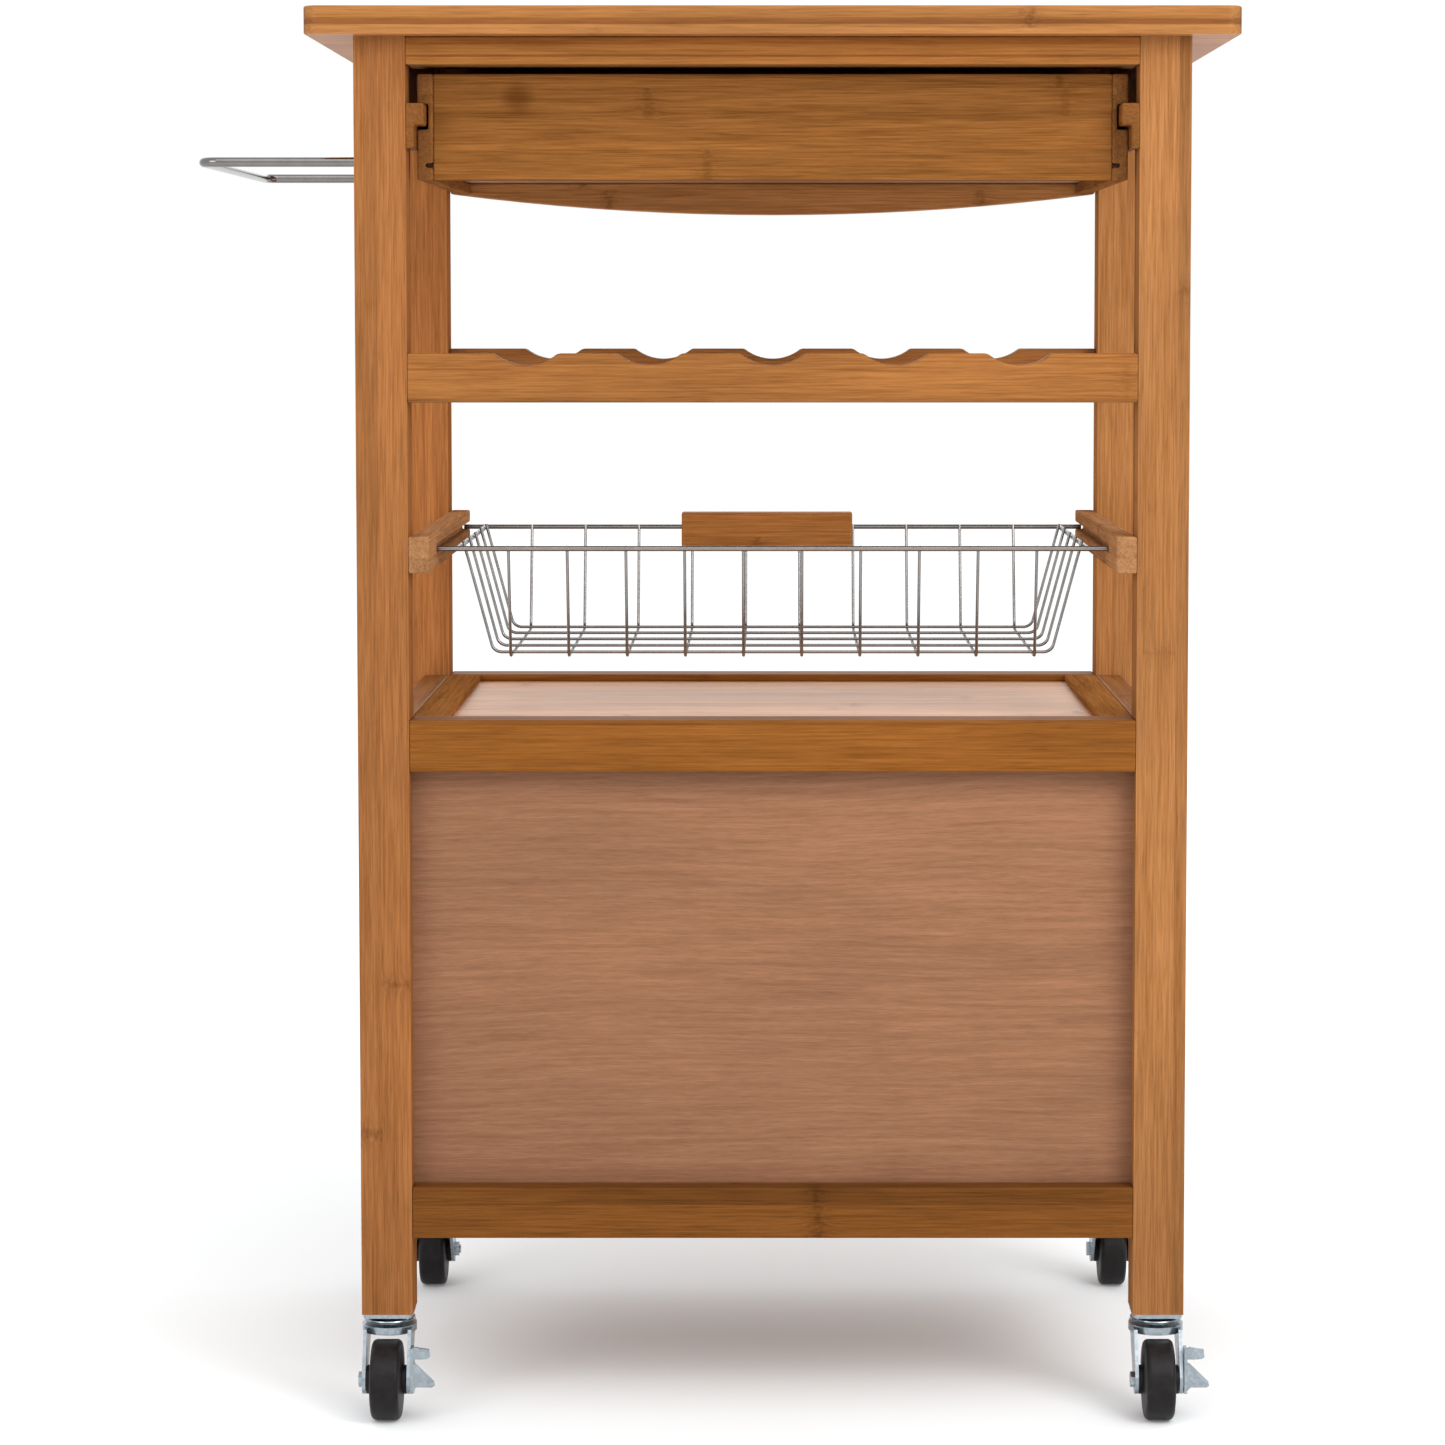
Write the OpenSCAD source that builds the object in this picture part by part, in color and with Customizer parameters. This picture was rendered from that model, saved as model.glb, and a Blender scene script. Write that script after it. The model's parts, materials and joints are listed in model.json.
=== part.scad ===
// Rolling kitchen cart: a bamboo frame on four casters, with a top, a drawer, a rack
// for five bottles, a sliding wire basket, a cabinet with two doors and a towel rail.
// Millimetres, +Z up. The doors and the drawer face -Y; left and right are as seen
// from there. The origin is on the floor, under the middle of the whole cart with its
// towel rail. Lengths across the cart are worked out from the middle of its legs.

/* [Frame] */
// Width over the outer faces of the legs
frame_w = 518; // [500:2:560]
// Depth over the outer faces of the legs
frame_d = 340; // [330:2:400]
// Height of the underside of the top
frame_h = 866; // [860:1:910]
// Width of a leg, across the cart
leg_w = 32; // [30:1:38]
// Depth of a leg, front to back
leg_d = 32; // [30:1:60]
// Thickness of the three-ply boards
board_t = 17.4; // [15:0.2:19]
// Depth of the flat rails under the top
top_rail_d = 46; // [30:1:50]
// Height of the aprons under the sides of the top
apron_h = 40; // [30:1:50]

/* [Top] */
// How far the top passes the legs at each side
top_side_overhang = 29; // [15:1:60]
// How far the top passes the legs at the front and the back
top_end_overhang = 20; // [5:1:24]
// Radius of the top's corners, seen from above
top_corner_r = 9; // [3:1:20]

/* [Drawer] */
// Height of the drawer's box
drawer_h = 66; // [60:1:68]
// Gap between the top rails and the drawer's box
drawer_gap = 4.6; // [3:0.2:8]
// Thickness of the drawer's sides
drawer_side_t = 10; // [9.5:0.5:12]
// Thickness of the drawer's back
drawer_back_t = 12; // [9:0.5:16]
// How far the drawer's back stands in from the back of the legs
drawer_inset = 20; // [10:1:40]
// How much lower the arched front is at its middle than at its ends
arch_sag = 14.5; // [6:0.5:20]

/* [Bottle rack] */
// Height of the underside of the rack's rails
rack_z = 640; // [630:1:670]
// Height of a rack rail
rack_h = 30.4; // [26:0.2:40]
// Number of bottle notches
notch_count = 5; // [2:1:5]
// Distance between notches
notch_pitch = 76.7; // [60:0.5:82]
// Width of a notch at the rail's top edge
notch_w = 40; // [24:1:46]
// Depth of a notch
notch_h = 7.1; // [4:0.1:10]

/* [Basket] */
// Height of the basket's rim
rim_z = 545; // [540:1:560]
// Diameter of the rim's rods
rim_d = 3.4; // [3:0.1:4]
// Diameter of the basket's wires
wire_d = 2; // [1.6:0.1:2.4]
// Depth of the basket below its rim
basket_h = 70.8; // [50:0.2:80]
// Distance from the front rod to the back rod
basket_l = 258; // [220:1:264]
// How far the basket's walls lean outwards, in degrees
basket_lean = 15; // [5:0.5:22]
// Number of wires that run front to back
cross_count = 10; // [4:1:12]
// Number of wires that run side to side
long_count = 5; // [3:1:6]
// Length of the wooden handle
handle_l = 120; // [80:1:160]

/* [Cabinet] */
// Height of the top edge of the cabinet's upper rails
cabinet_z = 441.8; // [430:0.2:450]
// Height of the underside of the cabinet's lower rails
cabinet_low_z = 114; // [100:0.2:150]
// Height of the cabinet's rails
cabinet_rail_h = 32.4; // [28:0.2:36]
// Depth of the front and back cabinet rails
cabinet_rail_d = 27; // [24:0.5:30]
// How deep the tray on the cabinet is
tray_h = 5; // [3:0.5:9]
// Width of the stiles and rails of a door
stile_w = 40; // [30:1:50]

/* [Towel rail] */
// How far the towel rail stands out from the legs
towel_reach = 99; // [60:1:120]
// Height of the towel rail
towel_z = 789.2; // [770:0.2:800]
// Diameter of the towel rail
towel_d = 6; // [5:0.5:8]

/* [Casters] */
// Height from the floor to the underside of the legs
caster_h = 65; // [65:0.5:72]
// Diameter of a wheel
wheel_d = 50; // [46:1:50]
// Width of a wheel's tread
wheel_w = 20.6; // [18:0.2:22]
// Distance from the swivel's axis back to the axle
trail = 20; // [18:1:26]

/* [Hidden] */

$fn = 48;

BAMBOO = [0.76, 0.52, 0.31];
BAMBOO_DARK = [0.62, 0.40, 0.22];
PLYWOOD = [0.68, 0.49, 0.37];
CHROME = [0.80, 0.80, 0.82];
ZINC = [0.66, 0.70, 0.73];
BLACK = [0.12, 0.11, 0.11];

// Faces of the legs
out_x = frame_w / 2;
in_x = out_x - leg_w;
out_y = frame_d / 2;
in_y = out_y - leg_d;
leg_x = out_x - leg_w / 2;
leg_y = out_y - leg_d / 2;
// The towel rail is on one side only, so the whole cart's middle is off the legs' middle
top_x = out_x + top_side_overhang;
middle_x = (out_x + towel_reach - top_x) / 2;

// Clearances: around a panel's edge, and beside a piece that moves
panel_gap = 0.2;
slide_gap = 0.4;
groove_h = 6;

// Drawer and its runners
drawer_z1 = frame_h - board_t - drawer_gap;
drawer_z0 = drawer_z1 - drawer_h;
drawer_x = in_x - 5.5;
drawer_y1 = out_y - drawer_inset;
front_in_y = out_y - board_t;
drawer_front_gap = 1.5;
tongue_z0 = drawer_z0 + 33.5;
tongue_h = 13.5;
tongue_w = 11.2;
runner_lip_t = 5.1;
runner_lip_h = 14.5;
bottom_t = 2.5;
bottom_z = drawer_z0 + 8;
bottom_groove = 5.2;

// Basket
rim_x = in_x - 9.5;
side_rod_x = rim_x - 15.5;
basket_y0 = -(out_y - 12);
basket_y = basket_y0 + basket_l / 2;
wire_bend_r = 7;
wire_bend_run = wire_bend_r * tan((90 - basket_lean) / 2);
wire_inset = ((rim_d + wire_d) / 2 + 0.03) / cos(basket_lean);
long_wire_rise = wire_d + 0.1;
cross_bottom = basket_l / 2 - wire_inset - basket_h * tan(basket_lean);
long_bottom = side_rod_x - wire_inset - (basket_h - long_wire_rise) * tan(basket_lean);
cross_span = 2 * (long_bottom - wire_bend_run) - 12;
long_span = 2 * (cross_bottom - wire_bend_run);
runner_w = 12.8;
runner_h = 22.7;
runner_groove_w = 5.5;
runner_groove_h = 5;
handle_h = 24;
handle_off_centre = 4;

// Cabinet
cab_z0 = cabinet_low_z + cabinet_rail_h;
cab_z1 = cabinet_z - cabinet_rail_h;
cab_in_y = out_y - cabinet_rail_d;
tray_side_w = 21.7;
tray_panel_t = 9;
tray_panel_z = cabinet_z - tray_h - tray_panel_t;
floor_z = cab_z0 - 16;
back_y0 = out_y - 21;
back_t = 4.6;
side_t = 6;
side_rail_t = 17.6;
side_x = in_x + side_rail_t / 2;

// Doors and their hinges
door_gap = 2;
door_x1 = in_x - door_gap;
door_x0 = 1.5;
door_z0 = cab_z0 + door_gap;
door_z1 = cab_z1 - door_gap;
knob_z = door_z1 - 88;
leaf_t = 0.8;
hinge_h = 44;
hinge_end = 30;
barrel_r = 2.4;
pin_r = 1.2;
hinge_x = in_x - door_gap / 2;
hinge_y = -out_y - barrel_r - slide_gap;

// Casters
plate_t = 2.5;
wheel_r = wheel_d / 2;
hub_r = 9;
hub_half = 12.4;
tread_w = wheel_w - 2.2;
axle_r = 3;
fork_in = hub_half + 0.5;
fork_t = 2.2;
fork_out = fork_in + fork_t;
crown_z = caster_h - 12.9;
crown_t = 4.7;
king_r = 4;
lever_t = 1.8;
screw_r = 1.6;
screw_x = 11.2;
screw_y = 11.2;

// ---- Helpers ----

// Moves what is laid out from the middle of the legs to the cart's own origin
module placed() {
    translate([-middle_x, 0, 0]) children();
}

// A box between two opposite corners
module block(low, high) {
    translate(low) cube(high - low);
}

// Drawn for the right side, and mirrored where side is -1
module at_side(side) {
    mirror([side < 0 ? 1 : 0, 0, 0]) children();
}

// Drawn for the back, and mirrored where end is -1
module at_end(end) {
    mirror([0, end < 0 ? 1 : 0, 0]) children();
}

module both_sides() {
    for (side = [-1, 1]) at_side(side) children();
}

// A round rod between two points
module rod(from, to, d) {
    way = to - from;
    translate(from)
        rotate([0, acos(way.z / norm(way)), atan2(way.y, way.x)])
        cylinder(d = d, h = norm(way));
}

// A round bar along X
module bar_x(x0, x1, r) {
    translate([x0, 0, 0]) rotate([0, 90, 0]) cylinder(r = r, h = x1 - x0);
}

// A rectangle with rounded corners
module rounded(size, r) {
    square([size.x - 2 * r, size.y], center = true);
    square([size.x, size.y - 2 * r], center = true);
    for (x = [-1, 1], y = [-1, 1])
        translate([x * (size.x / 2 - r), y * (size.y / 2 - r)]) circle(r);
}

// Where a line from a point touches a circle, on its left (1) or its right (-1)
function tangent(from, centre, r, side) =
    let (way = from - centre, turn = atan2(way.y, way.x) + side * acos(r / norm(way)))
    centre + r * [cos(turn), sin(turn)];

// ---- Frame ----

module tabletop() {
    color(BAMBOO) placed()
        translate([0, 0, frame_h]) linear_extrude(board_t)
        rounded([2 * top_x, frame_d + 2 * top_end_overhang], top_corner_r);
}

// A leg with the grooves of the cabinet's panels and the screw holes of its caster
module leg(side, end) {
    color(BAMBOO) placed() at_side(side) at_end(end) difference() {
        block([in_x, in_y, caster_h], [out_x, out_y, frame_h]);
        side_panel_groove();
        if (end > 0) back_panel_groove();
        if (side > 0) towel_bore();
        for (x = [-1, 1], y = [-1, 1])
            translate([leg_x + x * screw_x, leg_y + y * screw_y, caster_h - 1])
                cylinder(r = screw_r + 0.05, h = 16.5);
    }
}

module leg_rear_left() leg(-1, 1);
module leg_rear_right() leg(1, 1);
module leg_front_left() leg(-1, -1);
module leg_front_right() leg(1, -1);

module side_panel_groove() {
    block([side_x - side_t / 2 - panel_gap / 2, in_y - 1, cab_z0 - groove_h],
          [side_x + side_t / 2 + panel_gap / 2, in_y + groove_h, cab_z1 + groove_h]);
}

module back_panel_groove() {
    block([in_x - 1, back_y0, cab_z0 - groove_h],
          [in_x + groove_h, back_y0 + back_t + 2 * panel_gap, cab_z1 + groove_h]);
}

module towel_bore() {
    translate([0, leg_y, towel_z]) bar_x(out_x - 16.5, out_x + 1, towel_d / 2 + 0.05);
}

module top_rail(end) {
    color(BAMBOO_DARK) placed() at_end(end)
        block([-in_x, out_y - top_rail_d, frame_h - board_t], [in_x, out_y, frame_h]);
}

module top_rail_rear() top_rail(1);
module top_rail_front() top_rail(-1);

module side_aprons() {
    color(BAMBOO) placed() both_sides()
        block([leg_x - board_t / 2, -in_y, frame_h - apron_h],
              [leg_x + board_t / 2, in_y, frame_h]);
}

// The runners' upper half is the tongue that the drawer's sides hang on
module drawer_runners() {
    color(BAMBOO_DARK) placed() both_sides() {
        y0 = -front_in_y + 1.6;
        block([in_x - tongue_w, y0, tongue_z0], [in_x, out_y, tongue_z0 + tongue_h]);
        block([in_x - runner_lip_t, y0, tongue_z0 - runner_lip_h], [in_x, out_y, tongue_z0]);
    }
}

// ---- Bottle rack ----

module bottle_rail(end) {
    notch_r = (pow(notch_w / 2, 2) + pow(notch_h, 2)) / (2 * notch_h);
    color(BAMBOO) placed() at_end(end) difference() {
        block([-in_x, front_in_y, rack_z], [in_x, out_y, rack_z + rack_h]);
        for (i = [0:notch_count - 1])
            translate([(i - (notch_count - 1) / 2) * notch_pitch, front_in_y - 1,
                       rack_z + rack_h - notch_h + notch_r])
                rotate([-90, 0, 0]) cylinder(r = notch_r, h = board_t + 2, $fn = 180);
    }
}

module bottle_rail_rear() bottle_rail(1);
module bottle_rail_front() bottle_rail(-1);

// ---- Cabinet ----

// The front and back rails of the tray, which also close the top of the cabinet
module tray_rail(end) {
    color(BAMBOO) placed() at_end(end) difference() {
        block([-in_x, cab_in_y, cab_z1], [in_x, out_y, cabinet_z]);
        block([-in_x - 1, cab_in_y - 1, tray_panel_z - panel_gap / 2],
              [in_x + 1, cab_in_y + 5, tray_panel_z + tray_panel_t + panel_gap / 2]);
        if (end > 0)
            block([-in_x - 1, back_y0, cab_z1 - 1],
                  [in_x + 1, back_y0 + back_t + 2 * panel_gap, cab_z1 + groove_h]);
    }
}

module tray_rail_rear() tray_rail(1);
module tray_rail_front() tray_rail(-1);

module tray_side_rails() {
    x0 = in_x - tray_side_w;
    color(BAMBOO) placed() both_sides() difference() {
        block([x0, -cab_in_y, cab_z1], [in_x, cab_in_y, cabinet_z]);
        block([x0 - 1, -cab_in_y - 1, tray_panel_z - panel_gap / 2],
              [x0 + 5, cab_in_y + 1, tray_panel_z + tray_panel_t + panel_gap / 2]);
    }
}

module tray_panel() {
    x = in_x - tray_side_w + 5 - panel_gap;
    y = cab_in_y + 5 - panel_gap;
    color(BAMBOO) placed()
        block([-x, -y, tray_panel_z], [x, y, tray_panel_z + tray_panel_t]);
}

// A side rail flush with the legs' inner faces, with the side panel's groove along it
module side_rails(z0, groove_z) {
    color(BAMBOO) placed() both_sides() difference() {
        block([in_x, -in_y, z0], [in_x + side_rail_t, in_y, z0 + cabinet_rail_h]);
        block([side_x - side_t / 2 - panel_gap / 2, -in_y - 1, groove_z],
              [side_x + side_t / 2 + panel_gap / 2, in_y + 1, groove_z + groove_h + 1]);
    }
}

module side_rails_upper() side_rails(cab_z1, cab_z1 - 1);
module side_rails_lower() side_rails(cabinet_low_z, cab_z0 - groove_h);

module side_panels() {
    color(BAMBOO) placed() both_sides()
        block([side_x - side_t / 2, -in_y - groove_h + panel_gap, cab_z0 - groove_h + panel_gap],
              [side_x + side_t / 2, in_y + groove_h - panel_gap, cab_z1 + groove_h - panel_gap]);
}

module back_panel() {
    x = in_x + groove_h - panel_gap;
    color(PLYWOOD) placed()
        block([-x, back_y0 + panel_gap, cab_z0 - groove_h + panel_gap],
              [x, back_y0 + panel_gap + back_t, cab_z1 + groove_h - panel_gap]);
}

module bottom_rail(end) {
    color(BAMBOO_DARK) placed() at_end(end) difference() {
        block([-in_x, cab_in_y, cabinet_low_z], [in_x, out_y, cab_z0]);
        block([-in_x - 1, cab_in_y - 1, floor_z - panel_gap / 2],
              [in_x + 1, cab_in_y + 5, floor_z + tray_panel_t + panel_gap / 2]);
        if (end > 0)
            block([-in_x - 1, back_y0, cab_z0 - groove_h],
                  [in_x + 1, back_y0 + back_t + 2 * panel_gap, cab_z0 + 1]);
    }
}

module bottom_rail_rear() bottom_rail(1);
module bottom_rail_front() bottom_rail(-1);

module cabinet_floor() {
    x = in_x - panel_gap;
    y = cab_in_y + 5 - panel_gap;
    color(PLYWOOD) placed() block([-x, -y, floor_z], [x, y, floor_z + tray_panel_t]);
}

// Magnetic catches under the front tray rail, one behind each door
module door_catches() {
    color(ZINC) placed() both_sides()
        block([10, -front_in_y + slide_gap, cab_z1 - 12], [46, -front_in_y + 15, cab_z1]);
}

// ---- Doors ----

// The places of a door's two hinges, from their lower ends
module at_hinges() {
    for (z = [door_z0 + hinge_end, door_z1 - hinge_end - hinge_h])
        translate([hinge_x, hinge_y, z]) children();
}

module knuckle(z0, z1, bore_r) {
    difference() {
        translate([0, 0, z0]) cylinder(r = barrel_r, h = z1 - z0);
        translate([0, 0, z0 - 1]) cylinder(r = bore_r, h = z1 - z0 + 2);
    }
}

// Leaves on the legs, with the outer two knuckles of each hinge
module hinge_frame_leaves() {
    third = hinge_h / 3;
    color(ZINC) placed() both_sides() at_hinges() difference() {
        union() {
            cylinder(r = barrel_r, h = hinge_h);
            block([door_gap / 2 - leaf_t, 0, 0], [door_gap / 2, board_t + 2, hinge_h]);
        }
        translate([0, 0, -1]) cylinder(r = pin_r + 0.02, h = hinge_h + 2);
        block([-5, -5, third - slide_gap],
              [barrel_r, barrel_r + slide_gap, 2 * third + slide_gap]);
    }
}

module hinge_pins() {
    color(ZINC) placed() both_sides() at_hinges() cylinder(r = pin_r, h = hinge_h);
}

// Leaves on one door, with the middle knuckle of each hinge
module door_hinge_leaves(side) {
    third = hinge_h / 3;
    color(ZINC) placed() at_side(side) at_hinges() difference() {
        union() {
            translate([0, 0, third]) cylinder(r = barrel_r, h = third);
            block([-door_gap / 2, 0, third], [leaf_t - door_gap / 2, barrel_r + 1, 2 * third]);
            block([-door_gap / 2, barrel_r + slide_gap, 0],
                  [leaf_t - door_gap / 2, board_t + 2, hinge_h]);
        }
        translate([0, 0, third - 1]) cylinder(r = pin_r + 0.06, h = third + 2);
    }
}

// Stiles at both sides, and rails between them
module door_frame(side) {
    color(BAMBOO) placed() at_side(side) {
        for (x = [door_x0, door_x1 - stile_w]) difference() {
            block([x, -out_y, door_z0], [x + stile_w, -front_in_y, door_z1]);
            door_panel_block(panel_gap);
        }
        for (z = [door_z0, door_z1 - stile_w]) difference() {
            block([door_x0 + stile_w, -out_y, z],
                  [door_x1 - stile_w, -front_in_y, z + stile_w]);
            door_panel_block(panel_gap);
        }
    }
}

// The door's panel, or with a gap round it the grooves that hold it
module door_panel_block(gap) {
    inset = stile_w - groove_h + panel_gap;
    middle_y = -(out_y + front_in_y) / 2;
    block([door_x0 + inset - gap, middle_y - side_t / 2 - gap / 2, door_z0 + inset - gap],
          [door_x1 - inset + gap, middle_y + side_t / 2 + gap / 2, door_z1 - inset + gap]);
}

module door_panel(side) {
    color(BAMBOO) placed() at_side(side) door_panel_block(0);
}

// A turned knob that stands out towards -Y from the face it is fixed to
module knob() {
    rotate([90, 0, 0]) rotate_extrude() difference() {
        union() {
            square([7, 3]);
            square([5, 14]);
            translate([0, 11]) square([9, 11]);
            translate([9, 15]) circle(r = 4);
            translate([9, 18]) circle(r = 4);
            translate([0, 15]) square([13, 3]);
        }
        translate([-20, -1]) square([20, 30]);
    }
}

module door_knob(side) {
    color(ZINC) placed() at_side(side)
        translate([door_x0 + stile_w / 2, -out_y, knob_z]) knob();
}

module door_left_frame() door_frame(-1);
module door_left_panel() door_panel(-1);
module door_left_knob() door_knob(-1);
module door_left_hinge_leaves() door_hinge_leaves(-1);
module door_right_frame() door_frame(1);
module door_right_panel() door_panel(1);
module door_right_knob() door_knob(1);
module door_right_hinge_leaves() door_hinge_leaves(1);

// ---- Towel rail ----

module towel_rail() {
    bend_r = 9;
    bar_x_pos = out_x + towel_reach - towel_d / 2;
    color(CHROME) placed() translate([0, 0, towel_z]) {
        rod([bar_x_pos, bend_r - leg_y, 0], [bar_x_pos, leg_y - bend_r, 0], towel_d);
        for (end = [-1, 1]) at_end(end) {
            translate([0, leg_y, 0]) bar_x(out_x - 16, bar_x_pos - bend_r, towel_d / 2);
            translate([bar_x_pos - bend_r, leg_y - bend_r, 0])
                rotate_extrude(angle = 90) translate([bend_r, 0]) circle(d = towel_d);
        }
    }
}

// ---- Drawer ----

// A board between the front legs whose lower edge is a shallow arch
module drawer_front() {
    x = in_x - drawer_front_gap;
    z1 = frame_h - board_t - 2.6;
    z0 = drawer_z0 - 14;
    arch_r = (x * x + arch_sag * arch_sag) / (2 * arch_sag);
    color(BAMBOO) placed() difference() {
        intersection() {
            block([-x, -out_y, z0], [x, -front_in_y, z1]);
            translate([0, -out_y - 1, z0 + arch_r])
                rotate([-90, 0, 0]) cylinder(r = arch_r, h = board_t + 2, $fn = 720);
        }
        drawer_bottom_block(panel_gap);
    }
}

// The drawer's bottom, or with a gap round it the grooves that hold it
module drawer_bottom_block(gap) {
    x = drawer_x - drawer_side_t + bottom_groove - panel_gap + gap;
    block([-x, -front_in_y - 5 - gap, bottom_z - gap / 2],
          [x, drawer_y1 - drawer_back_t + 5 + gap, bottom_z + bottom_t + gap / 2]);
}

module drawer_back() {
    x = drawer_x - drawer_side_t;
    color(BAMBOO_DARK) placed() difference() {
        block([-x, drawer_y1 - drawer_back_t, drawer_z0], [x, drawer_y1, drawer_z1]);
        drawer_bottom_block(panel_gap);
    }
}

// Each side has the runner's groove outside and the bottom's groove inside, right through
module drawer_sides() {
    color(BAMBOO_DARK) placed() both_sides() difference() {
        block([drawer_x - drawer_side_t, -front_in_y, drawer_z0], [drawer_x, drawer_y1, drawer_z1]);
        block([in_x - tongue_w - 1.1, -out_y, tongue_z0 - 2],
              [drawer_x + 1, out_y, tongue_z0 + tongue_h + slide_gap]);
        block([drawer_x - drawer_side_t - 1, -out_y, bottom_z - panel_gap / 2],
              [drawer_x - drawer_side_t + bottom_groove, out_y, bottom_z + bottom_t + panel_gap / 2]);
    }
}

module drawer_bottom() {
    color(PLYWOOD) placed() drawer_bottom_block(0);
}

module drawer_knob() {
    color(ZINC) placed() translate([0, -out_y, drawer_z0 + 30]) knob();
}

// ---- Basket ----

// A runner on the inner faces of the legs, with a groove that stops short of the back
module basket_runners() {
    color(BAMBOO) placed() both_sides() difference() {
        block([in_x - runner_w, -out_y, rim_z - runner_h / 2],
              [in_x, out_y, rim_z + runner_h / 2]);
        block([in_x - runner_w - 1, -out_y - 1, rim_z - rim_d / 2 - slide_gap],
              [in_x - runner_w + runner_groove_w, basket_y0 + basket_l + 10,
               rim_z - rim_d / 2 - slide_gap + runner_groove_h]);
    }
}

// The front and back rods slide in the runners, and the side rods are welded between them
module basket_rim() {
    color(CHROME) placed() translate([0, basket_y, rim_z]) {
        for (y = [-1, 1]) translate([0, y * basket_l / 2, 0]) bar_x(-rim_x, rim_x, rim_d / 2);
        both_sides()
            rod([side_rod_x, -basket_l / 2, 0], [side_rod_x, basket_l / 2, 0], rim_d);
    }
}

// A wire bent to a flat-bottomed U in the XZ plane, whose ends lean outwards. Each
// straight part runs a little way into its bends, which are a hair thicker.
module bent_wire(bottom, rise) {
    reach = bottom - wire_bend_run;
    wall = (rise - wire_bend_r * (1 - sin(basket_lean))) / cos(basket_lean);
    into = 0.3;
    both_sides() translate([reach, 0, wire_bend_r]) {
        translate([into, 0, -wire_bend_r]) rotate([0, -90, 0])
            cylinder(d = wire_d, h = reach + into);
        rotate([90, 0, 0]) rotate_extrude(start = -90, angle = 90 - basket_lean)
            translate([wire_bend_r, 0]) circle(d = wire_d + 0.06);
        rotate([0, basket_lean, 0]) translate([wire_bend_r, 0, -into])
            cylinder(d = wire_d, h = wall + into);
    }
}

module basket_cross_wires() {
    pitch = cross_span / (cross_count - 1);
    color(CHROME) placed()
        for (i = [0:cross_count - 1])
            translate([i * pitch - cross_span / 2, basket_y, rim_z - basket_h]) rotate([0, 0, 90])
                bent_wire(cross_bottom, basket_h + 1.4);
}

module basket_long_wires() {
    pitch = long_span / (long_count - 1);
    color(CHROME) placed() for (i = [0:long_count - 1])
        translate([0, basket_y + i * pitch - long_span / 2, rim_z - basket_h + long_wire_rise])
            bent_wire(long_bottom, basket_h - long_wire_rise + 3.4);
}

// A wooden handle that sits over the front rod and its wires, slotted from below
module basket_handle() {
    z1 = rim_z + 10.5;
    z0 = z1 - handle_h;
    wires_y = wire_inset + (rim_z - z0) * tan(basket_lean) + wire_d / 2;
    color(BAMBOO) placed() translate([handle_off_centre, basket_y0 + 2, 0]) difference() {
        block([-handle_l / 2, -board_t / 2, z0], [handle_l / 2, board_t / 2, z1]);
        block([-handle_l / 2 - 1, -2 - rim_d / 2 - slide_gap, z0 - 1],
              [handle_l / 2 + 1, wires_y - 2 + slide_gap, rim_z + rim_d / 2 + 0.1]);
    }
}

// ---- Casters ----

// The place of a caster, with +Y pointing away from the cart
module at_caster(side, end) {
    translate([side * leg_x, 0, 0]) at_end(end) translate([0, leg_y, 0]) children();
}

// Top plates with the upper half of the swivel and its riveted pin
module caster_plates() {
    color(ZINC) placed() for (side = [-1, 1], end = [-1, 1]) at_caster(side, end) {
        difference() {
            translate([0, 0, caster_h - plate_t]) linear_extrude(plate_t) rounded([31, 31], 4);
            for (x = [-1, 1], y = [-1, 1])
                translate([x * screw_x, y * screw_y, caster_h - plate_t - 1])
                    cylinder(r = screw_r + 0.3, h = plate_t + 2);
        }
        translate([0, 0, caster_h]) rotate_extrude() polygon([
            [0, -plate_t], [11, -plate_t], [12.6, -4], [16, -4.4], [16.3, -5], [15.6, -6.4],
            [king_r, -6.4], [king_r, -13], [6.4, -13], [5.4, -14.6], [0, -14.6]
        ]);
    }
}

module caster_screws() {
    color(ZINC) placed() for (side = [-1, 1], end = [-1, 1], x = [-1, 1], y = [-1, 1])
        at_caster(side, end) translate([x * screw_x, y * screw_y, caster_h - plate_t]) {
            cylinder(r = screw_r, h = 17);
            translate([0, 0, -1.3]) cylinder(r1 = 1.9, r2 = 2.6, h = 1.3);
        }
}

// A pressed fork: a crown that swivels on the rivet, and two cheeks down to the axle
module caster_fork(side, end) {
    axle = [trail, wheel_r];
    front = tangent([-15, crown_z + crown_t - 1], axle, hub_r, 1);
    back = tangent([17, crown_z + crown_t - 1], axle, hub_r, -1);
    color(ZINC) placed() at_caster(side, end) difference() {
        union() {
            translate([0, 0, crown_z]) cylinder(r = 17.2, h = crown_t);
            both_sides() translate([fork_in, 0, 0]) rotate([90, 0, 90])
                linear_extrude(fork_t) difference() {
                    union() {
                        translate(axle) circle(hub_r);
                        polygon([[-15, crown_z + crown_t - 1], front, axle, back,
                                 [17, crown_z + crown_t - 1]]);
                    }
                    translate(axle) circle(axle_r + 0.05);
                }
        }
        translate([0, 0, crown_z - 1]) cylinder(r = king_r + 0.08, h = crown_t + 2);
    }
}

module caster_fork_rear_left() caster_fork(-1, 1);
module caster_fork_rear_right() caster_fork(1, 1);
module caster_fork_front_left() caster_fork(-1, -1);
module caster_fork_front_right() caster_fork(1, -1);

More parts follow.
